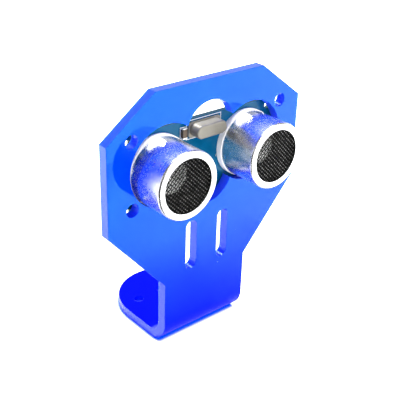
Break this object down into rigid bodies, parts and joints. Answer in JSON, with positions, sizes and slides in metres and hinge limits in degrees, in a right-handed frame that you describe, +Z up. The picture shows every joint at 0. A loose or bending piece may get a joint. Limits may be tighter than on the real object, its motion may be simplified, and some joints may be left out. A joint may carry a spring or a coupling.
{
  "type": "ultrasonic distance sensor",
  "caption": "Ultrasonic distance sensor: a circuit board with a transmitter and a receiver can, carried in the shaped window of an L-shaped blue acrylic bracket.",
  "frame": {"origin": "centre of the middle hole of the foot, on the foot's underside", "axes": "+Z up along the plate, -Y the way the sensors look, +X towards the receiver can, which is on the right seen from in front"},
  "size_m": [0.056, 0.0363, 0.0661],
  "materials": {
    "acrylic": "polished cast sheet with paler laser-cut edges",
    "board": "glossy teal-blue solder mask over glass-fibre laminate",
    "can_aluminium": "drawn, brushed, lightly scratched",
    "mesh_black": "blackened woven wire",
    "base_grey": "moulded, satin",
    "silicone": "soft, matt",
    "diaphragm_brass": "rolled, satin",
    "ceramic": "fired, matt",
    "horn_aluminium": "thin, drawn",
    "copper_wire": "thin enamelled wire",
    "tinned_wire": "tinned, satin",
    "crystal_metal": "nickel-plated, satin",
    "black_plastic": "moulded, satin",
    "gold_pins": "gold-plated",
    "chip_black": "moulded, fine grain",
    "resistor_black": "printed film under glaze",
    "capacitor_tan": "fired ceramic",
    "solder": "bright solder"
  },
  "bodies": {
    "root": {"bracket": "acrylic", "circuit_board": "board", "crystal_can": "crystal_metal", "crystal_base": "crystal_metal", "crystal_leads": "tinned_wire", "header_strip": "black_plastic", "header_pins": "gold_pins", "microcontroller": "chip_black", "microcontroller_leads": "tinned_wire", "amplifier": "chip_black", "amplifier_leads": "tinned_wire", "line_driver": "chip_black", "line_driver_leads": "tinned_wire", "resistors": "resistor_black", "resistor_caps": "tinned_wire", "capacitors": "capacitor_tan", "capacitor_caps": "tinned_wire", "transistor": "chip_black", "transistor_leads": "tinned_wire", "solder_joints": "solder", "transmitter_can": "can_aluminium", "transmitter_mesh": "mesh_black", "transmitter_base": "base_grey", "transmitter_support_ring": "silicone", "transmitter_diaphragm": "diaphragm_brass", "transmitter_piezo_disc": "ceramic", "transmitter_horn": "horn_aluminium", "transmitter_lead_wires": "copper_wire", "transmitter_pins": "tinned_wire", "receiver_can": "can_aluminium", "receiver_mesh": "mesh_black", "receiver_base": "base_grey", "receiver_support_ring": "silicone", "receiver_diaphragm": "diaphragm_brass", "receiver_piezo_disc": "ceramic", "receiver_horn": "horn_aluminium", "receiver_lead_wires": "copper_wire", "receiver_pins": "tinned_wire"}
  },
  "joints": []
}
